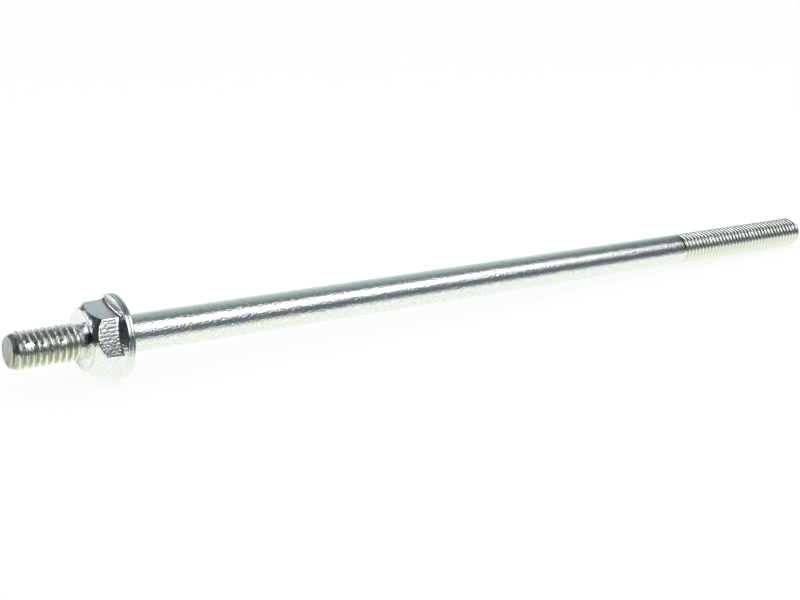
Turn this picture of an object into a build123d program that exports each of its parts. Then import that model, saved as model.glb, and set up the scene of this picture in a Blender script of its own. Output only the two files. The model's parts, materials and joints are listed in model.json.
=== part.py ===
from build123d import *
import os
from math import asin, atan2, cos, degrees, hypot, radians, tan

# Starter motor through screw, cold formed in one piece from round wire: a threaded stud, a dished
# hexagon on a conical flange, a long plain shank and a threaded tip.
# Millimetres, +Z up. The screw lies at rest on its flange rim and on the last crest of its tip,
# with the tip towards +X. Along the screw x is counted from the bearing face, positive to the tip.
# Both threads, M6 x 1.0 right hand, are plain cylinders at the diameter of their crests.

# Stud, on the driven side of the head. The neck is the bare wire that its thread was rolled on.
stud_thread_diameter = 5.74
stud_length = 11.3
stud_end_taper = 1.2
stud_end_drop = 0.445
neck_length = 1.2
neck_drop = 0.195
neck_shoulder = 0.25

# Head: a hexagon for a 10 mm spanner, drawn in towards its dished crown, on a conical flange.
across_flats = 10.0
hex_draft = 1.0
hex_corner_radius = 0.4
hex_roll = 16.0
head_height = 5.65
dish_depth = 0.65
crown_ring_inset = 0.4
crown_middle_reach = 0.55
crown_middle_drop = 0.65
crown_corner_drop = 1.55
flange_overhang = 0.7265
flange_rim = 1.05
flange_cone_angle = 22.0
rim_radius = 0.15
head_root_radius = 0.25

# Shank and threaded tip, under the head. The thread's run-out is a cone down from the shank.
under_head_length = 157.1
shank_diameter = 5.88
shank_root_radius = 0.4
tip_thread_length = 34.1
tip_thread_drop = 0.06
thread_runout = 0.75
tip_end_chamfer = 0.8
tip_end_drop = 0.73

# Places along the screw
stud_end = -head_height - stud_length
neck_start = -head_height - neck_length
dish_floor = -head_height + dish_depth
thread_start = under_head_length - tip_thread_length
tip_crest_end = under_head_length - tip_end_chamfer

# Radii. The flange stands out past the hexagon's sharp corners.
stud_radius = stud_thread_diameter / 2
neck_radius = stud_radius - neck_drop
shank_radius = shank_diameter / 2
tip_radius = shank_radius - tip_thread_drop
corner_reach = across_flats / 2 / cos(radians(30))
flange_radius = corner_reach + flange_overhang
ring_radius = across_flats / 2 - crown_ring_inset

# The flange cone rises from the rim towards the axis and runs on inside the hexagon.
cone_top = -flange_rim - (flange_radius - neck_radius) * tan(radians(flange_cone_angle))

# Resting tilt: the common tangent of the rounded rim and the last crest of the tip.
rest_run = tip_crest_end + rim_radius
rest_drop = flange_radius - rim_radius - tip_radius
rest_tilt = degrees(atan2(rest_drop, rest_run) + asin(rim_radius / hypot(rest_run, rest_drop)))

# The crown is a rounded shoulder, from the ring round the dish down past the hexagon's corners.
crown_middle = (-head_height + crown_middle_drop, ring_radius + crown_middle_reach)
crown_foot = (-head_height + crown_corner_drop, corner_reach)

# Hexagon: a prism cut to the dished crown.
with BuildPart() as hex_head:
    with BuildSketch(Plane.YZ.offset(-flange_rim)) as flats:
        RegularPolygon(across_flats / 2, 6, major_radius=False, rotation=hex_roll)
        fillet(flats.vertices(), hex_corner_radius)
    extrude(amount=flange_rim - head_height, taper=hex_draft)
    with BuildSketch(Plane.XY) as crown:
        with BuildLine():
            Line((-flange_rim, 0), (dish_floor, 0))
            Line((dish_floor, 0), (dish_floor, neck_radius))
            Line((dish_floor, neck_radius), (-head_height, ring_radius))
            ThreePointArc((-head_height, ring_radius), crown_middle, crown_foot)
            Line(crown_foot, (-flange_rim, corner_reach))
            Line((-flange_rim, corner_reach), (-flange_rim, 0))
        make_face()
    revolve(axis=Axis.X, mode=Mode.INTERSECT)

# Everything round: stud, neck, flange, shank and tip, turned about the screw's axis.
with BuildPart() as screw:
    with BuildSketch(Plane.XY) as turned:
        with BuildLine():
            Polyline(
                (stud_end, 0),
                (stud_end, stud_radius - stud_end_drop),
                (stud_end + stud_end_taper, stud_radius),
                (neck_start, stud_radius),
                (neck_start + neck_shoulder, neck_radius),
                (cone_top, neck_radius),
                (-flange_rim, flange_radius),
                (0, flange_radius),
                (0, shank_radius),
                (thread_start - thread_runout, shank_radius),
                (thread_start, tip_radius),
                (tip_crest_end, tip_radius),
                (under_head_length, tip_radius - tip_end_drop),
                (under_head_length, 0),
                (stud_end, 0),
            )
        make_face()
        rim_corners = turned.vertices().group_by(Axis.Y)[-1]
        fillet(rim_corners, rim_radius)
        shank_root = turned.vertices().sort_by_distance((0, shank_radius))[0]
        fillet(shank_root, shank_root_radius)
    revolve(axis=Axis.X)
    add(hex_head)
    # The flange's cone is the one nearest to its rim, and it meets the hexagon in neither
    # circles nor straight lines.
    cones = screw.faces().filter_by(GeomType.CONE)
    flange_cone = cones.sort_by(lambda cone: abs(cone.center().X + flange_rim))[0]
    cone_edges = flange_cone.edges().filter_by(GeomType.CIRCLE, reverse=True)
    fillet(cone_edges.filter_by(GeomType.LINE, reverse=True), head_root_radius)

with BuildPart() as lying:
    with Locations(Location((0, 0, 0), (0, rest_tilt, 0))):
        add(screw)

# The origin is under the middle of the screw, on the surface that it lies on.
lying_box = lying.part.bounding_box()
with BuildPart() as starter_screw:
    with Locations((-lying_box.center().X, 0, -lying_box.min.Z)):
        add(lying)

starter_screw.part.label = "starter_screw"
os.makedirs("parts", exist_ok=True)
export_step(starter_screw.part, "parts/starter_screw.step")
print("resting tilt in degrees:", round(rest_tilt, 4))
print("solids:", len(starter_screw.part.solids()), "volume:", round(starter_screw.part.volume, 2))
print(starter_screw.part.bounding_box())
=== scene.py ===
import json
import math
import bmesh
import bpy
import numpy as np
from mathutils import Matrix, Vector


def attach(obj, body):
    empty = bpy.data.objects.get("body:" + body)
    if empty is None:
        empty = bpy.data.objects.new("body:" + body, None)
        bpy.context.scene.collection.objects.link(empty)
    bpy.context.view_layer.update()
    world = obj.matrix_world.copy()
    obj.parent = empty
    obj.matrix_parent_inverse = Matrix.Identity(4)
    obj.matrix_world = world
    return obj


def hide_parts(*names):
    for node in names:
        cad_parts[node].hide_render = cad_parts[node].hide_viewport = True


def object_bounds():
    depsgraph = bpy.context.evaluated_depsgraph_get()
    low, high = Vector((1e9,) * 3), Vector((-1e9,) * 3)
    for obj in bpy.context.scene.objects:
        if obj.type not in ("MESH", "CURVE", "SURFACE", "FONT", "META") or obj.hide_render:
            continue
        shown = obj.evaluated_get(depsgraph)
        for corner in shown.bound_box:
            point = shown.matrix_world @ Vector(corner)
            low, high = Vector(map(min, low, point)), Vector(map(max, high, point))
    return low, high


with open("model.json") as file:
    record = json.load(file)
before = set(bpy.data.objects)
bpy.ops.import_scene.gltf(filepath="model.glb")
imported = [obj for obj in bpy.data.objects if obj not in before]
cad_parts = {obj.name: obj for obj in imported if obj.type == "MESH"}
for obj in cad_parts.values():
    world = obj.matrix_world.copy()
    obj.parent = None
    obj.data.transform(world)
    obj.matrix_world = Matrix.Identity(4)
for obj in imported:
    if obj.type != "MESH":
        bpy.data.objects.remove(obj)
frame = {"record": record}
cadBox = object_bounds()

mm = 0.001
mounts = {mount["name"]: mount for mount in frame["record"]["mounts"]}

# The screw is built in millimetres along its own axis: x from the bearing face towards the tip,
# z up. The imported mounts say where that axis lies.
axis = Vector(mounts["shank"]["axis"]).normalized()
lift = Vector((-axis.z, 0, axis.x))
shankMiddle = Vector(mounts["shank"]["pos_m"])
faceCentre = shankMiddle + axis * (Vector(mounts["bearing_face"]["pos_m"]) - shankMiddle).dot(axis)
restTilt = math.atan2(-axis.z, axis.x)
screwToFrame = (
    Matrix.Translation(faceCentre)
    @ Matrix((axis, (0, 1, 0), lift)).transposed().to_4x4()
    @ Matrix.Scale(mm, 4)
)


def stationOf(mountName):
    return (Vector(mounts[mountName]["pos_m"]) - faceCentre).dot(axis) / mm


def radiusOf(mountName):
    return mounts[mountName]["dims"]["r_mm"]


def halfLengthOf(mountName):
    return mounts[mountName]["dims"]["length_mm"] / 2


roundColumns = 72  # faces round the stud, shank and tip

stud = {
    "endTaper": 1.2,  # from the end face to the start of the thread's mount
    "endRound": 0.30,
    "endRadius": 2.425,
    "cupDepth": 0.14,
    # the cup, as shares of its depth with their radii
    "cupProfile": ((1.0, 0.5), (0.95, 1.1), (0.75, 1.5), (0.4, 1.8), (0.1, 2.0), (0.0, 2.12)),
    "rimProfile": ((0.03, 2.23), (0.10, 2.33), (0.19, 2.395)),  # behind the end face, radius
    "neckRadius": 2.675,
    "neckRound": 0.30,
    "neckRing": 0.3,  # where the neck's second ring is
    "rows": 20,
    "pitch": 1.0,
    "phase": 0.52,
    "depth": 0.58,
    # spots where a knock has closed the thread: x, degrees round, half length, half width in degrees
    "knocks": ((-14.45, 153, 0.62, 10), (-13.1, 156, 0.3, 5), (-12.35, 157, 0.3, 6),
               (-9.45, 157, 0.42, 6), (-7.25, 154, 0.24, 6)),
    "knockFade": 0.6,
    "knockBelowCrest": 0.05,
}
studStart = stationOf("stud_thread") - halfLengthOf("stud_thread") - stud["endTaper"]
neckStart = stationOf("stud_thread") + halfLengthOf("stud_thread")
studTurns = math.floor((neckStart - studStart - stud["endRound"]) * stud["rows"]) / stud["rows"]
studRingX = neckStart - studTurns * stud["pitch"]  # where the thread's first ring is

shank = {
    "rootRadius": 0.4,
    "rootRings": 8,
    "ringsFrom": 3,
    "ringsEvery": 4,
    "plainEnd": 1.5,  # bare of rings before the far thread
    "stepDown": 0.5,  # where the shank narrows to the far thread's crests
    "stepRings": 6,
}

tip = {
    "runOut": 1.6,
    "chamfer": 0.8,
    "faceRound": 0.1,
    "endRadius": 2.2,
    "cornerRadius": 2.12,
    "faceRadius": 2.0,
    "faceProfile": ((0.02, 1.7), (0.05, 1.1), (0.05, 0.5)),  # depth behind the face, radius
    "rows": 20,
    "pitch": 1.0,
    "phase": 0.75,
    "depth": 0.54,
}
tipStart = stationOf("tip_thread") - halfLengthOf("tip_thread") - tip["runOut"]
tipEnd = stationOf("tip_thread") + halfLengthOf("tip_thread") + tip["chamfer"]
tipTurns = math.floor((tipEnd - tip["faceRound"] - tipStart) * tip["rows"]) / tip["rows"]


def putIn(tree, socket, value):
    if isinstance(value, bpy.types.NodeSocket):
        tree.links.new(value, socket)
    elif value is not None:
        socket.default_value = value


def calc(tree, operation, *values):
    node = tree.nodes.new("ShaderNodeMath")
    node.operation = operation
    for socket, value in zip(node.inputs, values):
        putIn(tree, socket, value)
    return node.outputs[0]


def addNode(tree, kind, inputs=None, **settings):
    node = tree.nodes.new(kind)
    for name, value in settings.items():
        setattr(node, name, value)
    for name, value in (inputs or {}).items():
        putIn(tree, node.inputs[name], value)
    return node


def mixColour(tree, factor, first, second):
    node = addNode(tree, "ShaderNodeMix", {"Factor": factor}, data_type="RGBA")
    for place, colour in ((6, first), (7, second)):  # the colour sockets share their names with others
        given = colour if isinstance(colour, bpy.types.NodeSocket) else (*colour, 1.0)
        putIn(tree, node.inputs[place], given)
    return node.outputs[2]


def rangeOf(tree, value, low, high, atLow, atHigh, smooth=False):
    return addNode(
        tree, "ShaderNodeMapRange",
        {"Value": value, "From Min": low, "From Max": high, "To Min": atLow, "To Max": atHigh},
        interpolation_type="SMOOTHSTEP" if smooth else "LINEAR",
    ).outputs[0]


def between(tree, value, limits, smooth=False):
    # 0 at the first limit and 1 at the second
    return rangeOf(tree, value, limits[0], limits[1], 0, 1, smooth)


def noise(tree, vector, size, detail, roughness):
    return addNode(
        tree, "ShaderNodeTexNoise",
        {"Vector": vector, "Scale": 1 / size, "Detail": detail, "Roughness": roughness},
    ).outputs["Fac"]


zincFinish = {
    "silver": (0.85, 0.88, 0.88),
    "straw": (0.87, 0.90, 0.70),
    "shade": (0.05, 0.06, 0.05),
    "cloudSize": 8.0,
    "cloudEdges": (0.38, 0.66),
    "cloudStraw": 0.35,  # the most straw that the clouds bring
    "studReflectedStraw": 0.75,  # and the most on the lower side of each thread, where it is a painted reflection of the pale floor
    "tipReflectedStraw": 0.40,
    "reflectedStrawHeights": (1.2, -2.0, 0.15, 1.0),  # from high to low, and the share of painted reflection at each
    # the tip's colour is scaled by this, a painted shade that tones down its reflections
    "tipPaintedShade": 0.90,
    # where the thread roots are, as radii, and how bright they stay under the shade painted into them
    "studRoots": (2.85, 2.45),
    "tipRoots": (2.52, 2.34),
    "rootShade": 0.56,
    # the cut end, which has painted shade: how deep, how far out, how bright it stays, and its scratches,
    # which vary the shade
    "cutEndDepth": (0.26, 0.20),
    "cutEndRadius": (2.16, 2.06),
    "cutEndShade": 0.36,
    "scratchTurn": 0.5,
    "scratchScale": (1, 3.2, 0.5),
    "scratchSize": 0.9,
    "scratchEdges": (0.38, 0.62),
    "scratchShares": (0.70, 1.22),
    # the band of painted shade, a painted dark reflection, on the neck's upper side
    "neckShadeAlong": (-0.25, -0.05),
    "neckShadeRadius": (2.9, 2.75),
    "neckShadeTop": (1.85, 1.5),
    "neckShadeFrom": (0.1, 0.7),
    "neckShadeShare": 0.75,
    "gloss": 0.05,
    "frost": 0.13,
    "frostEdges": (0.3, 0.7),
    "rootFrost": 0.2,  # added in the roots and on the cut end
    "drawn": (0.9, 1, 1),  # the grain is a little longer along the screw
    "grainSize": 0.34,  # mm
    "grainHeight": 0.070,  # mm
    "studGrain": 0.8,  # the share of that height on each part
    "tipGrain": 0.25,
    "headGrain": 0.5,
    "fineSize": 0.15,
    "fineHeight": 0.014,
    "fleckSize": 0.3,
    "fleckEdges": (0.35, 0.65),
    "speckle": 0.12,
}


def markPlaces(tree, along, top, radius):
    # masks, from 0 to 1, of the places that are finished in their own way, some with painted shade
    onStud = calc(tree, "LESS_THAN", along, neckStart)
    onTip = calc(tree, "GREATER_THAN", along, tipStart - shank["stepDown"])
    beforeFace = calc(tree, "LESS_THAN", along, 0.0)
    studRoots = calc(tree, "MULTIPLY", between(tree, radius, zincFinish["studRoots"]), onStud)
    tipRoots = calc(tree, "MULTIPLY", between(tree, radius, zincFinish["tipRoots"]), onTip)
    cutDepths = [studStart + depth for depth in zincFinish["cutEndDepth"]]
    cutEnd = calc(tree, "MULTIPLY", between(tree, along, cutDepths),
                  between(tree, radius, zincFinish["cutEndRadius"]))
    # the neck's upper side, where a dark reflection is painted as shade
    neck = between(tree, along, [neckStart + place for place in zincFinish["neckShadeAlong"]])
    neck = calc(tree, "MULTIPLY", neck, between(tree, radius, zincFinish["neckShadeRadius"]))
    neck = calc(tree, "MULTIPLY", neck, beforeFace)
    neck = calc(tree, "MULTIPLY", neck, between(tree, top, zincFinish["neckShadeTop"]))
    return {"stud": onStud, "tip": onTip, "head": beforeFace, "neck": neck, "cutEnd": cutEnd,
            "roots": calc(tree, "ADD", studRoots, tipRoots)}


def zincColour(tree, onScrew, top, marks):
    # silver, clouded with straw, and on the lower side of the threads more straw as a painted reflection of
    # the pale floor
    cloud = noise(tree, onScrew, zincFinish["cloudSize"], 4.0, 0.6)
    clouded = rangeOf(tree, cloud, *zincFinish["cloudEdges"], 0.0, zincFinish["cloudStraw"])
    reflectedStrawSide = rangeOf(tree, top, *zincFinish["reflectedStrawHeights"])
    onThread = calc(tree, "MULTIPLY_ADD", marks["tip"], zincFinish["tipReflectedStraw"],
                    calc(tree, "MULTIPLY", marks["stud"], zincFinish["studReflectedStraw"]))
    tint = calc(tree, "MULTIPLY_ADD", reflectedStrawSide, onThread, clouded)
    colour = mixColour(tree, calc(tree, "MINIMUM", tint, 1.0), zincFinish["silver"], zincFinish["straw"])

    # painted shade in the thread roots, on the scratched end and on the neck's upper side
    shadedRoots = calc(tree, "MAXIMUM", calc(tree, "SUBTRACT", marks["roots"], marks["cutEnd"]), 0.0)
    inRoots = calc(tree, "MULTIPLY", shadedRoots, 1 - zincFinish["rootShade"])
    turned = addNode(tree, "ShaderNodeMapping",
                     {"Vector": onScrew, "Rotation": (zincFinish["scratchTurn"], 0, 0),
                      "Scale": zincFinish["scratchScale"]}).outputs[0]
    scratches = noise(tree, turned, zincFinish["scratchSize"], 3.0, 0.6)
    scratched = rangeOf(tree, scratches, *zincFinish["scratchEdges"], *zincFinish["scratchShares"])
    # the cut end's painted shade, varied by its scratches
    onCutEnd = calc(tree, "MULTIPLY", marks["cutEnd"], scratched)
    paintedShade = calc(tree, "MULTIPLY_ADD", onCutEnd, 1 - zincFinish["cutEndShade"], inRoots)
    upperSide = rangeOf(tree, top, *zincFinish["neckShadeFrom"], 0, zincFinish["neckShadeShare"])
    paintedShade = calc(tree, "MAXIMUM", paintedShade, calc(tree, "MULTIPLY", marks["neck"], upperSide))
    colour = mixColour(tree, paintedShade, colour, zincFinish["shade"])

    # faint dark flecks on the shank and head, none on the stud, and painted shade over the whole tip
    flecks = noise(tree, onScrew, zincFinish["fleckSize"], 1.0, 0.5)
    flecksAndTipShade = rangeOf(tree, flecks, *zincFinish["fleckEdges"], 1 - zincFinish["speckle"], 1.0)
    flecksAndTipShade = rangeOf(tree, marks["stud"], 0, 1, flecksAndTipShade, 1.0)
    flecksAndTipShade = rangeOf(tree, marks["tip"], 0, 1, flecksAndTipShade, zincFinish["tipPaintedShade"])
    return addNode(tree, "ShaderNodeVectorMath", {0: colour, "Scale": flecksAndTipShade}, operation="SCALE").outputs[0]


def zincGrain(tree, onScrew, fine, marks):
    # soft grain, in full on the shank and less of it elsewhere
    drawn = addNode(tree, "ShaderNodeMapping", {"Vector": onScrew, "Scale": zincFinish["drawn"]}).outputs[0]
    grain = noise(tree, drawn, zincFinish["grainSize"], 2.0, 0.5)
    share = rangeOf(tree, marks["head"], 0, 1, 1, zincFinish["headGrain"])
    share = rangeOf(tree, marks["tip"], 0, 1, share, zincFinish["tipGrain"])
    share = rangeOf(tree, marks["stud"], 0, 1, share, zincFinish["studGrain"])
    coarse = addNode(tree, "ShaderNodeBump",
                     {"Strength": share, "Distance": zincFinish["grainHeight"] * mm, "Height": grain})
    return addNode(tree, "ShaderNodeBump",
                   {"Strength": 1.0, "Distance": zincFinish["fineHeight"] * mm, "Height": fine,
                    "Normal": coarse.outputs[0]}).outputs[0]


def makeZinc():
    material = bpy.data.materials.new("zincPlate")
    material.use_nodes = True
    tree = material.node_tree
    shader = tree.nodes["Principled BSDF"]
    place = addNode(tree, "ShaderNodeTexCoord")
    onScrew = addNode(
        tree, "ShaderNodeMapping",
        {"Vector": place.outputs["Object"], "Location": faceCentre,
         "Rotation": (0, restTilt, 0), "Scale": (mm, mm, mm)},
        vector_type="TEXTURE",
    ).outputs[0]
    along, side, top = addNode(tree, "ShaderNodeSeparateXYZ", {"Vector": onScrew}).outputs
    radius = calc(tree, "SQRT", calc(tree, "MULTIPLY_ADD", side, side, calc(tree, "MULTIPLY", top, top)))
    marks = markPlaces(tree, along, top, radius)
    fine = noise(tree, onScrew, zincFinish["fineSize"], 2.0, 0.6)
    frost = rangeOf(tree, fine, *zincFinish["frostEdges"], zincFinish["gloss"], zincFinish["frost"])
    rough = calc(tree, "MAXIMUM", marks["roots"], marks["cutEnd"])
    frost = calc(tree, "ADD", frost, calc(tree, "MULTIPLY", rough, zincFinish["rootFrost"]))
    shader.inputs["Metallic"].default_value = 1.0
    putIn(tree, shader.inputs["Base Color"], zincColour(tree, onScrew, top, marks))
    putIn(tree, shader.inputs["Roughness"], frost)
    putIn(tree, shader.inputs["Normal"], zincGrain(tree, onScrew, fine, marks))
    return material


zincPlate = makeZinc()
print("zinc finish made")


threadInputs = (
    ("Start", "Float", 0.0),
    ("Turns", "Float", 10.0),
    ("Pitch", "Float", 1.0),
    ("Phase", "Float", 0.0),
    ("Rows per turn", "Int", 20),
    ("Columns", "Int", roundColumns),
    ("Crest radius", "Float", 3.0),
    ("Depth", "Float", 0.6),
    ("Crest flat", "Float", 0.1),
    ("Crest round", "Float", 0.1),
    ("Flank from", "Float", 0.2),
    ("Flank to", "Float", 0.7),
    ("Root flat", "Float", 0.8),
    ("Root round", "Float", 0.1),
    ("Start taper", "Float", 1.0),
    ("Start drop", "Float", 0.4),
    ("End taper", "Float", 1.0),
    ("End drop", "Float", 0.2),
    ("Taper curve", "Float", 2.2),
    ("Run in", "Float", 1.0),
    ("Run out", "Float", 1.0),
    ("Ragged", "Float", 0.02),
    ("Ragged size", "Float", 0.7),
    ("Smooth ends", "Float", 0.3),
    ("Wobble", "Float", 0.02),
    ("Wobble scale", "Float", 1.1),
    ("Seed", "Float", 3.0),
    ("Merge within", "Float", 0.0015),
    ("Material", "Material", None),
)


def turnsAlong(tree, step, around, turns):
    # rows follow the helix, and fan out to a square ring in the first and last turn
    wedgeIn = calc(tree, "MULTIPLY", calc(tree, "MINIMUM", step, 1.0), around)
    fullTurns = calc(tree, "SUBTRACT", turns, 1.0)
    beyondFirst = calc(tree, "MAXIMUM", calc(tree, "SUBTRACT", step, 1.0), 0.0)
    middle = calc(tree, "MINIMUM", beyondFirst, fullTurns)
    beyondLast = calc(tree, "MAXIMUM", calc(tree, "SUBTRACT", step, turns), 0.0)
    wedgeOut = calc(tree, "MULTIPLY", beyondLast, calc(tree, "SUBTRACT", 1.0, around))
    return calc(tree, "ADD", calc(tree, "ADD", wedgeIn, middle), wedgeOut)


def unevenness(tree, spot, given, scale, detail, roughness):
    # from -0.5 to 0.5, the same each time for one seed
    node = addNode(tree, "ShaderNodeTexNoise",
                   {"Vector": spot, "W": given["Seed"], "Scale": scale, "Detail": detail,
                    "Roughness": roughness}, noise_dimensions="4D")
    return calc(tree, "SUBTRACT", node.outputs["Fac"], 0.5)


def profileHeight(tree, across, given):
    # 1 on the crest and 0 in the root, for 0 in the middle of the crest to 1 in the middle of the root
    flankFall = calc(tree, "SUBTRACT", 1.0, given["Root round"])
    flankFall = calc(tree, "SUBTRACT", flankFall, given["Crest round"])
    height = 1.0
    for fromName, toName, fall in (("Crest flat", "Flank from", given["Crest round"]),
                                   ("Flank from", "Flank to", flankFall),
                                   ("Flank to", "Root flat", given["Root round"])):
        ramp = rangeOf(tree, across, given[fromName], given[toName], 0.0, fall)
        height = calc(tree, "SUBTRACT", height, ramp)
    return height


def fade(tree, distance, length):
    return between(tree, distance, (0.0, length), smooth=True)


def taper(tree, given, distance, which):
    # how far the crest drops towards one end of the thread
    short = calc(tree, "SUBTRACT", 1.0, calc(tree, "DIVIDE", distance, given[which + " taper"]))
    curve = calc(tree, "POWER", calc(tree, "MAXIMUM", short, 0.0), given["Taper curve"])
    return calc(tree, "MULTIPLY", curve, given[which + " drop"])


def grooveDepth(tree, given, spot, advance, around):
    # the groove, which wavers a little
    wobble = calc(tree, "MULTIPLY", unevenness(tree, spot, given, given["Wobble scale"], 1.0, 0.5),
                  given["Wobble"])
    phase = calc(tree, "ADD", calc(tree, "SUBTRACT", advance, around), given["Phase"])
    phase = calc(tree, "FRACT", calc(tree, "ADD", phase, wobble))
    across = calc(tree, "ABSOLUTE", calc(tree, "MULTIPLY_ADD", phase, 2.0, -1.0))
    height = profileHeight(tree, across, given)
    return calc(tree, "MULTIPLY", calc(tree, "SUBTRACT", 1.0, height), given["Depth"])


def surfaceRadius(tree, given, spot, advance, around, run, left):
    # the groove runs in and out, both ends narrow, and the lower of the two surfaces counts
    cut = grooveDepth(tree, given, spot, advance, around)
    cut = calc(tree, "MULTIPLY", cut, fade(tree, run, given["Run in"]))
    cut = calc(tree, "MULTIPLY", cut, fade(tree, left, given["Run out"]))
    crest = given["Crest radius"]
    envelope = calc(tree, "SUBTRACT", crest, taper(tree, given, run, "Start"))
    envelope = calc(tree, "SUBTRACT", envelope, taper(tree, given, left, "End"))
    radius = calc(tree, "MINIMUM", envelope, calc(tree, "SUBTRACT", crest, cut))

    # rolled crests are a little uneven
    raggedScale = calc(tree, "DIVIDE", 1.0, given["Ragged size"])
    uneven = calc(tree, "MULTIPLY", unevenness(tree, spot, given, raggedScale, 2.0, 0.6), given["Ragged"])
    uneven = calc(tree, "MULTIPLY", uneven, fade(tree, run, given["Smooth ends"]))
    uneven = calc(tree, "MULTIPLY", uneven, fade(tree, left, given["Smooth ends"]))
    return calc(tree, "MINIMUM", calc(tree, "ADD", radius, uneven), crest)


def makeThreadTree():
    tree = bpy.data.node_groups.new("rolledThread", "GeometryNodeTree")
    tree.interface.new_socket("Geometry", in_out="OUTPUT", socket_type="NodeSocketGeometry")
    for name, kind, value in threadInputs:
        socket = tree.interface.new_socket(name, in_out="INPUT", socket_type="NodeSocket" + kind)
        if value is not None:
            socket.default_value = value
    given = tree.nodes.new("NodeGroupInput").outputs
    turns = given["Turns"]

    # a flat grid, one row for each step along and one column for each step round
    lastRow = calc(tree, "MULTIPLY", calc(tree, "ADD", turns, 1.0), given["Rows per turn"])
    rows = calc(tree, "ROUND", calc(tree, "ADD", lastRow, 1.0))
    columns = calc(tree, "ADD", given["Columns"], 1.0)
    grid = addNode(tree, "GeometryNodeMeshGrid",
                   {"Size X": 1.0, "Size Y": 1.0, "Vertices X": rows, "Vertices Y": columns})
    onGrid = tree.nodes.new("GeometryNodeInputPosition").outputs[0]
    place = addNode(tree, "ShaderNodeSeparateXYZ", {"Vector": onGrid}).outputs
    step = calc(tree, "MULTIPLY", calc(tree, "ADD", place["X"], 0.5), calc(tree, "ADD", turns, 1.0))
    around = calc(tree, "ADD", place["Y"], 0.5)
    advance = turnsAlong(tree, step, around, turns)
    run = calc(tree, "MULTIPLY", advance, given["Pitch"])
    left = calc(tree, "SUBTRACT", calc(tree, "MULTIPLY", turns, given["Pitch"]), run)
    turn = calc(tree, "MULTIPLY", around, math.tau)
    cosine = calc(tree, "COSINE", turn)
    sine = calc(tree, "SINE", turn)

    def wind(x, radius):
        return addNode(tree, "ShaderNodeCombineXYZ",
                       {"X": x, "Y": calc(tree, "MULTIPLY", cosine, radius),
                        "Z": calc(tree, "MULTIPLY", sine, radius)}).outputs[0]

    spot = wind(run, given["Crest radius"])
    radius = surfaceRadius(tree, given, spot, advance, around, run, left)
    onScrew = wind(calc(tree, "ADD", run, given["Start"]), radius)
    wound = addNode(tree, "GeometryNodeSetPosition",
                    {"Geometry": grid.outputs["Mesh"], "Position": onScrew}).outputs[0]
    closed = addNode(tree, "GeometryNodeMergeByDistance",
                     {"Geometry": wound, "Distance": given["Merge within"]}).outputs[0]
    real = addNode(tree, "GeometryNodeRealizeInstances", {"Geometry": closed}).outputs[0]
    done = addNode(tree, "GeometryNodeSetMaterial", {"Geometry": real, "Material": given["Material"]})
    tree.links.new(done.outputs[0], tree.nodes.new("NodeGroupOutput").inputs[0])
    return tree


threadTree = makeThreadTree()


def makeThread(name, sizes):
    host = bpy.data.objects.new(name, bpy.data.meshes.new(name))
    bpy.context.scene.collection.objects.link(host)
    modifier = host.modifiers.new("thread", "NODES")
    modifier.node_group = threadTree
    sockets = threadTree.interface.items_tree
    identifiers = {socket.name: socket.identifier for socket in sockets if socket.in_out == "INPUT"}
    for label, value in sizes.items():
        modifier[identifiers[label]] = value
    bpy.context.view_layer.update()
    depsgraph = bpy.context.evaluated_depsgraph_get()
    baked = bpy.data.meshes.new_from_object(host.evaluated_get(depsgraph))
    host.modifiers.remove(modifier)
    bpy.data.objects.remove(host)
    print(name, "wound:", len(baked.polygons), "faces")
    return baked


def knockFlat(mesh, crest):
    # the metal of a knocked crest fills the groove beside it
    fade = stud["knockFade"]
    for vertex in mesh.vertices:
        x, y, z = vertex.co
        radius, turn = math.hypot(y, z), math.degrees(math.atan2(z, y)) % 360
        for where, angle, halfLength, halfWidth in stud["knocks"]:
            away = math.hypot((x - where) / halfLength, (turn - angle) / halfWidth)
            share = min(max(1 + fade - away, 0) / fade, 1)
            if share > 0:
                filled = radius + (crest - stud["knockBelowCrest"] - radius) * share
                vertex.co = (x, y * filled / radius, z * filled / radius)
                radius, (x, y, z) = filled, vertex.co


studMesh = makeThread("studThread", {
    "Start": studRingX,
    "Turns": studTurns,
    "Pitch": stud["pitch"],
    "Phase": stud["phase"],
    "Rows per turn": stud["rows"],
    "Crest radius": radiusOf("stud_thread"),
    "Depth": stud["depth"],
    "Start taper": 1.3,
    "Start drop": radiusOf("stud_thread") - stud["endRadius"],
    "End taper": 0.8,
    "End drop": radiusOf("stud_thread") - stud["neckRadius"],
    "Run in": 0.3,
    "Run out": 1.0,
    "Ragged": 0.13,
    "Ragged size": 0.5,
    "Wobble": 0.2,
    "Seed": 3.0,
    "Material": zincPlate,
})
knockFlat(studMesh, radiusOf("stud_thread"))

tipMesh = makeThread("tipThread", {
    "Start": tipStart,
    "Turns": tipTurns,
    "Pitch": tip["pitch"],
    "Phase": tip["phase"],
    "Rows per turn": tip["rows"],
    "Crest radius": radiusOf("tip_thread"),
    "Depth": tip["depth"],
    "Crest flat": 0.2,
    "Flank from": 0.3,
    "Start taper": 0.1,
    "Start drop": 0.0,
    "End taper": 0.9,
    "End drop": radiusOf("tip_thread") - tip["endRadius"],
    "Run in": 0.35,
    "Run out": 0.6,
    "Ragged": 0.02,
    "Ragged size": 0.6,
    "Wobble": 0.06,
    "Seed": 5.0,
    "Material": zincPlate,
})


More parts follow.
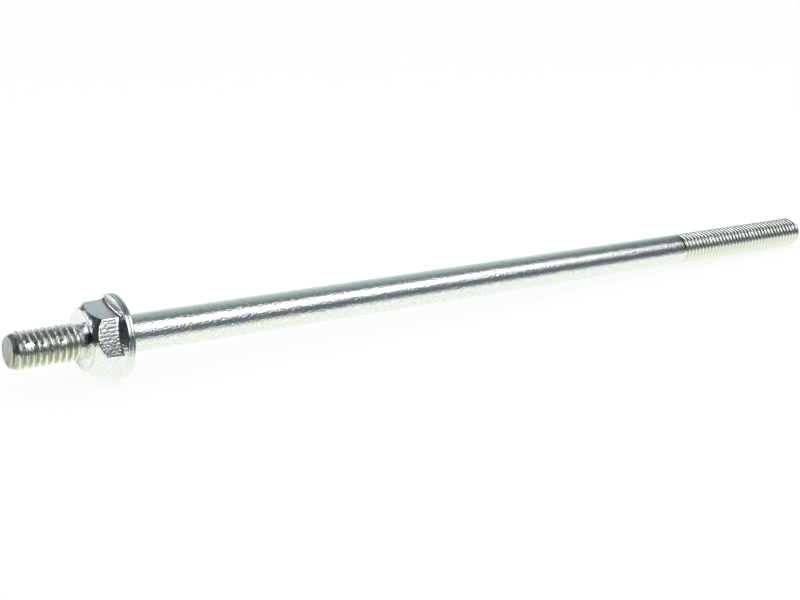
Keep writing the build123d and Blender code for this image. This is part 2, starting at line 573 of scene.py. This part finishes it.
head = {
    "acrossFlats": 10.0,
    "draft": 1.0,
    "cornerRadius": 0.4,
    "roll": 16.0,
    "height": 5.65,
    "dishDepth": 0.65,
    "dishFlat": 3.05,
    "dishCurve": 1.35,
    "ringRadius": 4.6,
    "ringRound": 0.12,
    "crownMiddle": (0.65, 0.55),
    "crownFoot": 1.55,
    "crownShift": (0.20, 195.0),  # how far the crown sits off the axis, and away from which side
    "edgeRound": 0.10,
    "footRound": 0.60,
    "flatEase": 0.08,
    "rimHeight": 1.05,
    "rimRound": 0.15,
    "rimGroove": (0.09, 0.42, 0.20),  # depth, then its place and half its width as shares of the rim
    "coneAngle": 22.0,
    "coneSag": 0.05,
    "faceInner": 3.7,
    "flatColumns": (16, 16, 120, 44, 16, 16),
    "cornerColumns": 8,
    "rings": {"dish": 7, "crown": 9, "flat": 17, "cone": 11, "rim": 16},
    # the drawn lines, with their depth on each flat, which fade out at its corners
    "striation": (0.006, 0.002, 0.010, 0.006, 0.006, 0.006),
    "striaWidth": 0.16,
    "striaLayers": ((1.0, 3.6, 0.6), (0.55, 1.9, 0.4)),  # share of the width, length, share of the depth
    "striaSway": (0.12, 1.9),
    "striaSink": 0.6,
    "striaFade": (28, 3),  # degrees from the middle of the flat, and over how many
    "bulge": 0.04,
    "bulgeFade": (30, 2),
    "seed": 7,
}
apothem = head["acrossFlats"] / 2
cornerReach = apothem / math.cos(math.radians(30))
flangeRadius = min(cadBox[1].y, -cadBox[0].y) / mm
ringX = -head["height"]
dishX = ringX + head["dishDepth"]
coneTurn = math.radians(head["coneAngle"])


def hexApothem(x):
    return apothem - (-head["rimHeight"] - x) * math.tan(math.radians(head["draft"]))


def fromFlat(angles):
    return (angles - head["roll"]) % 60 - 30  # degrees from the middle of the nearest flat


def hexRadius(angles, x):
    flat = hexApothem(x)
    away = np.radians(np.abs(fromFlat(angles)))
    corner = np.radians(30) - away
    centre = (flat - head["cornerRadius"]) / math.cos(math.radians(30))
    touch = math.atan2((apothem - head["cornerRadius"]) * math.tan(math.radians(30)), apothem)
    reach = head["cornerRadius"] ** 2 - (centre * np.sin(corner)) ** 2
    rounded = centre * np.cos(corner) + np.sqrt(np.maximum(reach, 0))
    return np.where(away < touch, flat / np.cos(away), rounded)


def headAngles():
    # the columns round the head: evenly across each flat, then round its corner
    angles = []
    halfFlat = (apothem - head["cornerRadius"]) * math.tan(math.radians(30))
    centre = (apothem - head["cornerRadius"]) / math.cos(math.radians(30))
    for side, count in enumerate(head["flatColumns"]):
        normal = head["roll"] + 30 + 60 * side
        across = np.linspace(-halfFlat, halfFlat, count + 1)
        angles += list(normal + np.degrees(np.arctan2(across, apothem)))
        turn = np.radians(np.linspace(-30, 30, head["cornerColumns"] + 1)[1:-1])
        bent = np.arctan2(head["cornerRadius"] * np.sin(turn), centre + head["cornerRadius"] * np.cos(turn))
        angles += list(normal + 30 + np.degrees(bent))
    return np.array(angles)


def circleThrough(a, b, c):
    # its centre, its radius, and the turns at which it passes a and c
    ax, ay, bx, by, cx, cy = *a, *b, *c
    d = 2 * (ax * (by - cy) + bx * (cy - ay) + cx * (ay - by))
    ux = ((ax**2 + ay**2) * (by - cy) + (bx**2 + by**2) * (cy - ay) + (cx**2 + cy**2) * (ay - by)) / d
    uy = ((ax**2 + ay**2) * (cx - bx) + (bx**2 + by**2) * (ax - cx) + (cx**2 + cy**2) * (bx - ax)) / d
    radius = math.hypot(ax - ux, ay - uy)
    return (ux, uy), radius, math.atan2(ay - uy, ax - ux), math.atan2(cy - uy, cx - ux)


def bend(start, corner, end, count):
    # a rounded corner between two points, without its two ends
    for t in np.linspace(0, 1, count + 2)[1:-1]:
        weights = ((1 - t) ** 2, 2 * t * (1 - t), t**2)
        yield tuple(sum(w * p[i] for w, p in zip(weights, (start, corner, end))) for i in (0, 1))


def towards(point, target, distance):
    dx, dr = target[0] - point[0], target[1] - point[1]
    length = np.hypot(dx, dr)
    return point[0] + dx / length * distance, point[1] + dr / length * distance


def dishRings(angles, shift):
    # from the dish's flat middle out to the ring, and the ring's corner before it is rounded
    zero = np.zeros_like(angles)
    ringR = head["ringRadius"] - shift
    rings = []
    for t in np.linspace(0, 1, head["rings"]["dish"]):
        r = head["dishFlat"] + t * (ringR - head["dishFlat"])
        rings.append((zero + dishX + (ringX - dishX) * t ** head["dishCurve"], zero + r))
    corner = rings[-1]
    rings[-1] = towards(corner, rings[-2], head["ringRound"])
    return rings, corner


def crownRings(angles, shift, dishEdge, dishCorner):
    # the shoulder, an arc that each column follows until it meets its flat
    middle = (ringX + head["crownMiddle"][0], head["ringRadius"] + head["crownMiddle"][1])
    foot = (ringX + head["crownFoot"], cornerReach)
    centre, radius, startTurn, endTurn = circleThrough((ringX, head["ringRadius"]), middle, foot)

    def crownAt(turn):
        return centre[0] + radius * np.cos(turn), centre[1] - shift + radius * np.sin(turn)

    zero = np.zeros_like(angles)
    low, high = zero + startTurn, zero + endTurn
    for _ in range(40):  # halve the arc until it ends on the flat
        mid = (low + high) / 2
        x, r = crownAt(mid)
        inside = r < hexRadius(angles, x)
        low = np.where(inside, mid, low)
        high = np.where(inside, high, mid)
    edgeTurn = (low + high) / 2
    direction = math.copysign(1, endTurn - startTurn)
    firstTurn = zero + startTurn + direction * head["ringRound"] / radius
    lastTurn = edgeTurn - direction * head["edgeRound"] / radius
    rings = list(bend(dishEdge, dishCorner, crownAt(firstTurn), 2))
    for t in np.linspace(0, 1, head["rings"]["crown"]):
        rings.append(crownAt(firstTurn + (lastTurn - firstTurn) * t))
    return rings, crownAt(edgeTurn)


def striae(across, x, seed):
    # smooth noise over the flat's width, which fades in and out along its length
    random = np.random.default_rng(seed)
    rows, columns = 8, 64  # of random heights
    swayDepth, swayRate = head["striaSway"]
    lines = np.zeros_like(across)
    for widthShare, reach, share in head["striaLayers"]:
        heights = random.uniform(-1, 1, (rows, columns))
        sway = swayDepth * np.sin(x * swayRate + seed)
        column = across / (head["striaWidth"] * widthShare) + columns / 2 + sway
        row = (x + rows) / reach
        i = np.floor(column).astype(int) % (columns - 1)
        j = np.floor(row).astype(int) % (rows - 1)
        u, v = column - np.floor(column), row - np.floor(row)
        u, v = u * u * (3 - 2 * u), v * v * (3 - 2 * v)
        near = heights[j, i] * (1 - u) + heights[j, i + 1] * u
        far = heights[j + 1, i] * (1 - u) + heights[j + 1, i + 1] * u
        lines += share * (near * (1 - v) + far * v)
    return lines


def drawLines(angles, ring):
    # the drawn lines on the flats and their slight bulge, for one ring
    x, r = ring
    side = ((angles - head["roll"]) // 60).astype(int) % 6
    away = fromFlat(angles)
    across = apothem * np.tan(np.radians(away))
    lines = np.zeros_like(angles)
    for k in range(6):
        lines += np.where(side == k, striae(across, x, head["seed"] + k), 0)

    def fadeOut(limit, over):
        return (limit - np.abs(away)) / over

    fade = np.clip(fadeOut(*head["striaFade"]), 0, 1)
    bulge = head["bulge"] * (across / cornerReach * 2) ** 2 * np.clip(fadeOut(*head["bulgeFade"]), 0, 1)
    depth = np.array(head["striation"])[side]
    return x, r + depth * fade * (lines - head["striaSink"]) - bulge


def flatRings(angles, crownEnd, edge):
    # from the crown's edge down the flats to the cone
    footR = hexRadius(angles, np.zeros_like(angles) - head["rimHeight"])
    for _ in range(4):  # the flat leans, so its foot is found in a few steps
        footX = -head["rimHeight"] - (flangeRadius - footR) * math.tan(coneTurn)
        footR = hexRadius(angles, footX)
    foot = (footX, footR)
    flatStart = towards(edge, foot, head["edgeRound"])
    flatEnd = towards(foot, edge, head["footRound"])
    coneStart = (footX + math.sin(coneTurn) * head["footRound"],
                 footR + math.cos(coneTurn) * head["footRound"])
    rings = list(bend(crownEnd, edge, flatStart, 3))
    for t in np.linspace(0, 1, head["rings"]["flat"]):
        eased = t + head["flatEase"] * math.sin(-math.tau * t)
        rings.append(tuple(a + (b - a) * eased for a, b in zip(flatStart, flatEnd)))
    rings += bend(flatEnd, foot, coneStart, 5)
    smoothFoot = 2  # the last rings of the foot have no lines
    drawn = [drawLines(angles, ring) for ring in rings[:-smoothFoot]]
    return drawn + rings[-smoothFoot:], coneStart


def flangeRings(angles, coneStart):
    # the cone, the rim with its groove, and the bearing face
    zero = np.zeros_like(angles)
    rimRound = head["rimRound"]
    rimCorner = (zero - head["rimHeight"], zero + flangeRadius)
    coneEnd = (rimCorner[0] - math.sin(coneTurn) * rimRound, rimCorner[1] - math.cos(coneTurn) * rimRound)
    rings = []
    for t in np.linspace(0, 1, head["rings"]["cone"]):
        x, r = (a + (b - a) * t for a, b in zip(coneStart, coneEnd))
        rings.append((x + head["coneSag"] * 4 * t * (1 - t), r))
    rimStart = (rimCorner[0] + rimRound, rimCorner[1])
    rimEnd = (zero - rimRound, zero + flangeRadius)
    rings += bend(coneEnd, rimCorner, rimStart, 3)
    depth, place, half = head["rimGroove"]
    for t in np.linspace(0, 1, head["rings"]["rim"]):
        sunk = depth * (0.5 + 0.5 * math.cos(math.pi * min(abs(t - place) / half, 1)))
        rings.append((rimStart[0] + (rimEnd[0] - rimStart[0]) * t, rimStart[1] - sunk))
    faceStart = (zero, zero + flangeRadius - rimRound)
    rings += bend(rimEnd, (zero, zero + flangeRadius), faceStart, 3)
    rings.append(faceStart)
    rings.append((zero, (faceStart[1] + head["faceInner"]) / 2))
    rings.append((zero, zero + head["faceInner"]))
    return rings


def headRings(angles):
    shift = head["crownShift"][0] * np.cos(np.radians(angles - head["crownShift"][1]))
    dish, dishCorner = dishRings(angles, shift)
    crown, edge = crownRings(angles, shift, dish[-1], dishCorner)
    flats, coneStart = flatRings(angles, crown[-1], edge)
    return dish + crown + flats + flangeRings(angles, coneStart)


def addRing(mesh, angles, x, r):
    turn = np.radians(angles)
    x, r = np.asarray(x, float), np.asarray(r, float)
    points = np.stack([np.broadcast_to(x, turn.shape), r * np.cos(turn), r * np.sin(turn)], 1)
    return [mesh.verts.new(point) for point in points]


def joinRings(mesh, first, second):
    count = len(first)
    for i in range(count):
        j = (i + 1) % count
        mesh.faces.new((first[i], first[j], second[j], second[i]))


def capRing(mesh, ring, x):
    middle = mesh.verts.new((x, 0, 0))
    for i in range(len(ring)):
        mesh.faces.new((ring[i], ring[(i + 1) % len(ring)], middle))


def inOrder(ring, angles):
    # the ring's vertices and their angles, in order of angle, with the first again at the end
    order = np.argsort(angles % 360)
    turns = (angles % 360)[order]
    verts = [ring[place] for place in order]
    return verts + verts[:1], np.append(turns, turns[0] + 360)


def stitchRings(mesh, first, firstAngles, second, secondAngles):
    # two flat rings with different counts, joined by triangles in order of angle
    firstVerts, firstTurns = inOrder(first, firstAngles)
    secondVerts, secondTurns = inOrder(second, secondAngles)
    i = j = 0
    while i < len(first) or j < len(second):
        if i < len(first) and (j >= len(second) or firstTurns[i + 1] <= secondTurns[j + 1]):
            mesh.faces.new((firstVerts[i], firstVerts[i + 1], secondVerts[j]))
            i += 1
        else:
            mesh.faces.new((firstVerts[i], secondVerts[j + 1], secondVerts[j]))
            j += 1


def roundAngles():
    return np.arange(roundColumns) * 360 / roundColumns


def turnProfile(mesh, profile):
    angles = roundAngles()
    rings = [addRing(mesh, angles, x, r) for x, r in profile]
    for first, second in zip(rings, rings[1:]):
        joinRings(mesh, first, second)
    return rings[0], rings[-1]


def addStudEnd(mesh):
    # a shallow cup inside a rounded rim, up to the thread's first ring
    profile = [(studStart + stud["cupDepth"] * share, r) for share, r in stud["cupProfile"]]
    profile += [(studStart + behind, r) for behind, r in stud["rimProfile"]]
    profile.append((studRingX, stud["endRadius"]))
    firstRing, _ = turnProfile(mesh, profile)
    capRing(mesh, firstRing, studStart + stud["cupDepth"])


def addNeck(mesh):
    neck, neckRound = stud["neckRadius"], stud["neckRound"]
    profile = [(neckStart, neck), (neckStart + stud["neckRing"], neck), (dishX - neckRound, neck)]
    profile += bend((dishX - neckRound, neck), (dishX, neck), (dishX, neck + neckRound), 4)
    profile.append((dishX, neck + neckRound))
    return turnProfile(mesh, profile)[1]


def addHead(mesh, angles):
    built = [addRing(mesh, angles, x, r) for x, r in headRings(angles)]
    for first, second in zip(built, built[1:]):
        joinRings(mesh, first, second)
    return built[0], built[-1]


def addShank(mesh):
    # from its root fillet to the far thread
    shankRadius, root = radiusOf("shank"), shank["rootRadius"]
    profile = [(0, shankRadius + root)]
    for t in np.linspace(0, math.pi / 2, shank["rootRings"])[1:]:
        profile.append((root - root * math.cos(t), shankRadius + root - root * math.sin(t)))
    for x in np.arange(shank["ringsFrom"], tipStart - shank["plainEnd"], shank["ringsEvery"]):
        profile.append((x, shankRadius))
    for t in np.linspace(0, 1, shank["stepRings"]):
        eased = t * t * (3 - 2 * t)
        narrowed = shankRadius + (radiusOf("tip_thread") - shankRadius) * eased
        profile.append((tipStart - shank["stepDown"] * (1 - t), narrowed))
    return turnProfile(mesh, profile)[0]


def addTipEnd(mesh):
    # from the thread's last ring over the rounded corner to the face
    last = (tipStart + tipTurns * tip["pitch"], tip["endRadius"])
    face = (tipEnd, tip["faceRadius"])
    profile = [last, *bend(last, (tipEnd, tip["cornerRadius"]), face, 3), face]
    profile += [(tipEnd - behind, r) for behind, r in tip["faceProfile"]]
    _, lastRing = turnProfile(mesh, profile)
    capRing(mesh, lastRing, profile[-1][0])


joining = {
    "weldWithin": 0.0012,  # mm, for the rings that the parts share
    "smallestEdge": 0.0005,  # mm
    "sharpFrom": 27,  # degrees
}


def buildScrew():
    mesh = bmesh.new()
    addStudEnd(mesh)
    neckRing = addNeck(mesh)
    angles = headAngles()
    crownRing, faceRing = addHead(mesh, angles)
    stitchRings(mesh, neckRing, roundAngles(), crownRing, angles)
    stitchRings(mesh, addShank(mesh), roundAngles(), faceRing, angles)
    addTipEnd(mesh)
    for thread in (studMesh, tipMesh):
        mesh.from_mesh(thread)
    bmesh.ops.remove_doubles(mesh, verts=mesh.verts, dist=joining["weldWithin"])
    bmesh.ops.dissolve_degenerate(mesh, edges=mesh.edges, dist=joining["smallestEdge"])
    bmesh.ops.recalc_face_normals(mesh, faces=mesh.faces)
    openEdges = sum(1 for edge in mesh.edges if len(edge.link_faces) != 2)
    for face in mesh.faces:
        face.smooth = True
    data = bpy.data.meshes.new("starterScrew")
    mesh.to_mesh(data)
    mesh.free()
    data.materials.clear()
    data.materials.append(zincPlate)
    data.set_sharp_from_angle(angle=math.radians(joining["sharpFrom"]))
    data.transform(screwToFrame)
    print("screw built:", len(data.polygons), "faces,", openEdges, "open edges")
    screw = bpy.data.objects.new("starterScrew", data)
    bpy.context.scene.collection.objects.link(screw)
    return screw


screw = buildScrew()
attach(screw, "root")
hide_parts("starter_screw")


def onStage(name, corners, material, shown=True):
    data = bpy.data.meshes.new(name)
    data.from_pydata(corners, [], [tuple(range(len(corners)))])
    data.materials.append(material)
    thing = bpy.data.objects.new(name, data)
    thing.visible_camera = shown
    bpy.context.scene.collection.objects.link(thing)


def plainTree(name):
    material = bpy.data.materials.new(name)
    material.use_nodes = True
    material.node_tree.nodes.clear()
    return material, material.node_tree


floor = {
    "size": 8.0,
    "grey": 0.92,
    "glow": 0.84,  # the share of plain white in it, which keeps the shadow pale
    # what the metal sees of it: dark in front, bright behind the front edge, dark again at the far left,
    # which is painted shade where the floor lies under the stud's end
    "front": (0.160, 0.186, 0.222),
    "bright": (1.06, 1.09, 1.04),
    "frontEdge": (-0.0205, -0.0075),
    "turnsAt": -0.08,  # left of here the front edge runs off at a slant
    "frontSlant": 0.8,
    "leftEdge": (-0.0945, -0.0845),
    "leftSlants": (1.5, -0.8),  # behind the screw and in front of it
    "leftTone": 0.06,
}


def makeFloor():
    material, tree = plainTree("whiteFloor")
    rays = addNode(tree, "ShaderNodeLightPath").outputs
    matt = addNode(tree, "ShaderNodeBsdfDiffuse", {"Color": (*[floor["grey"]] * 3, 1)}).outputs[0]
    white = addNode(tree, "ShaderNodeEmission", {"Color": (1, 1, 1, 1), "Strength": 1.0}).outputs[0]
    place = addNode(tree, "ShaderNodeTexCoord").outputs["Object"]
    x, y, _ = addNode(tree, "ShaderNodeSeparateXYZ", {"Vector": place}).outputs
    beyond = calc(tree, "MAXIMUM", calc(tree, "SUBTRACT", floor["turnsAt"], x), 0.0)
    slanted = calc(tree, "MULTIPLY_ADD", beyond, floor["frontSlant"], y)
    near = between(tree, slanted, floor["frontEdge"], smooth=True)
    behindSlant, frontSlant = floor["leftSlants"]
    slant = calc(tree, "ADD", calc(tree, "MULTIPLY", calc(tree, "MAXIMUM", y, 0.0), behindSlant),
                 calc(tree, "MULTIPLY", calc(tree, "MINIMUM", y, 0.0), frontSlant))
    left = rangeOf(tree, calc(tree, "ADD", x, slant), *floor["leftEdge"], floor["leftTone"], 1, smooth=True)
    tone = mixColour(tree, near, floor["front"], floor["bright"])
    seen = addNode(tree, "ShaderNodeEmission", {"Color": tone, "Strength": left}).outputs[0]
    share = calc(tree, "MULTIPLY", rays["Is Camera Ray"], floor["glow"])
    plain = addNode(tree, "ShaderNodeMixShader", {0: share, 1: matt, 2: white}).outputs[0]
    full = addNode(tree, "ShaderNodeMixShader", {0: rays["Is Glossy Ray"], 1: plain, 2: seen}).outputs[0]
    tree.links.new(full, tree.nodes.new("ShaderNodeOutputMaterial").inputs[0])
    half = floor["size"] / 2
    onStage("floor", [(-half, -half, 0), (half, -half, 0), (half, half, 0), (-half, half, 0)], material)


def glowing(name, strength):
    material, tree = plainTree(name)
    glow = addNode(tree, "ShaderNodeEmission", {"Color": (1, 1, 1, 1), "Strength": strength}).outputs[0]
    tree.links.new(glow, tree.nodes.new("ShaderNodeOutputMaterial").inputs[0])
    return material


softBox = {
    "strength": 1.9,
    "distance": 0.6,
    "turn": 42.0,
    # its outline: x in metres, height in degrees above the floor in front
    "outline": ((-0.20, 15), (0.205, 13), (0.23, 24), (0.27, 31), (0.36, 28), (0.48, 22), (0.53, 29),
                (0.58, 39), (0.64, 38), (0.69, 45), (0.76, 52), (0.72, 60), (0.67, 71), (0.61, 60),
                (0.57, 64), (0.53, 72), (0.44, 62), (0.38, 62), (0.30, 57), (0.26, 63), (-0.20, 66)),
}


def makeSoftBox():
    corners = []
    for x, height in softBox["outline"]:
        reach = softBox["distance"] / math.cos(math.radians(height - softBox["turn"]))
        turn = math.radians(height)
        corners.append((x, -reach * math.cos(turn), reach * math.sin(turn)))
    onStage("softBox", corners, glowing("softBox", softBox["strength"]), shown=False)


sideCard = {
    "strength": 1.9,
    "x": -0.58,
    # its outline: y and z in metres
    "outline": ((-0.03, 0.19), (0.12, 0.20), (0.30, 0.38), (0.95, 0.62), (0.95, 0.85), (0.55, 0.68),
                (0.24, 0.49), (-0.04, 0.47)),
}


def makeSideCard():
    corners = [(sideCard["x"], y, z) for y, z in sideCard["outline"]]
    onStage("sideCard", corners, glowing("sideCard", sideCard["strength"]), shown=False)


room = {
    # its tones, from the horizon in front over the top to the horizon behind
    "tones": ((0.00, 0.185), (0.36, 0.26), (0.42, 0.24), (0.50, 0.26), (0.60, 0.42), (0.72, 0.54),
              (0.80, 0.64), (0.90, 0.88), (1.00, 1.10)),
    "tint": (0.88, 1.01, 1.12),
    "lessBlue": (0.09, 0.5),  # how much less blue the tones have, and from which tone in full
    "left": (0.045, 0.052, 0.07),
    "horizon": (1.0, 1.03, 1.0),
    "horizonHeights": (0.23, 0.35, 1.0, 0.10),  # its edge, and its share below and above that
    "horizonBehind": (0.0, 0.5),
    "leftToRight": (0.05, 0.38),
    "farLeft": (-0.95, -0.66),
    "farLeftTone": (0.03, 0.034, 0.045),
    "farRight": (0.735, 0.80),
    "farRightTone": (0.02, 0.023, 0.03),
    "fill": (1.0, 1.0, 1.0),
}


def roomRamp(tree, overhead):
    ramp = addNode(tree, "ShaderNodeValToRGB", {"Fac": overhead})
    stops = ramp.color_ramp.elements
    while len(stops) < len(room["tones"]):
        stops.new(0.5)
    red, green, blue = room["tint"]
    lost, full = room["lessBlue"]
    for stop, (position, tone) in zip(stops, room["tones"]):
        stop.position = position
        stop.color = (tone * red, tone * green, tone * (blue - lost * min(tone / full, 1)), 1)
    return ramp.outputs[0]


def makeRoom():
    world = bpy.data.worlds.new("room")
    bpy.context.scene.world = world
    world.use_nodes = True
    tree = world.node_tree
    tree.nodes.clear()
    rays = addNode(tree, "ShaderNodeLightPath").outputs
    vector = addNode(tree, "ShaderNodeTexCoord").outputs["Generated"]
    x, y, z = addNode(tree, "ShaderNodeSeparateXYZ", {"Vector": vector}).outputs
    overhead = calc(tree, "DIVIDE", calc(tree, "ARCTAN2", z, calc(tree, "MULTIPLY", y, -1.0)), math.pi)
    horizon = calc(tree, "MULTIPLY", rangeOf(tree, z, *room["horizonHeights"], smooth=True),
                   between(tree, y, room["horizonBehind"], smooth=True))
    leftSide = mixColour(tree, horizon, room["left"], room["horizon"])
    around = mixColour(tree, between(tree, x, room["leftToRight"], smooth=True), leftSide,
                       roomRamp(tree, overhead))
    toned = mixColour(tree, between(tree, x, room["farLeft"], smooth=True), room["farLeftTone"], around)
    toned = mixColour(tree, between(tree, x, room["farRight"], smooth=True), toned, room["farRightTone"])
    seen = mixColour(tree, rays["Is Glossy Ray"], room["fill"], toned)
    shown = mixColour(tree, rays["Is Camera Ray"], seen, (1, 1, 1))
    light = addNode(tree, "ShaderNodeBackground", {"Color": shown, "Strength": 1.0}).outputs[0]
    tree.links.new(light, tree.nodes.new("ShaderNodeOutputWorld").inputs[0])


makeFloor()
makeSoftBox()
makeSideCard()
makeRoom()
print("studio set")

view = {
    "lens": 63.06,
    "sensor": 36.0,
    "azimuth": 36.63,  # degrees from +Y towards +X
    "down": 14.566,
    "fromStudEnd": (-0.069236, -0.186811, 0.057421),
    "near": 0.01,
}


def makeCamera():
    data = bpy.data.cameras.new("camera")
    data.lens = view["lens"]
    data.sensor_width = view["sensor"]
    data.clip_start = view["near"]
    camera = bpy.data.objects.new("camera", data)
    bpy.context.scene.collection.objects.link(camera)
    studFace = screwToFrame @ Vector((studStart, 0, 0))
    camera.location = studFace + Vector(view["fromStudEnd"])
    azimuth, down = math.radians(view["azimuth"]), math.radians(view["down"])
    look = Vector((math.sin(azimuth) * math.cos(down), math.cos(azimuth) * math.cos(down), -math.sin(down)))
    camera.rotation_euler = look.to_track_quat("-Z", "Y").to_euler()
    bpy.context.scene.camera = camera


makeCamera()
bpy.context.scene.view_settings.view_transform = "Standard"
print("camera set")
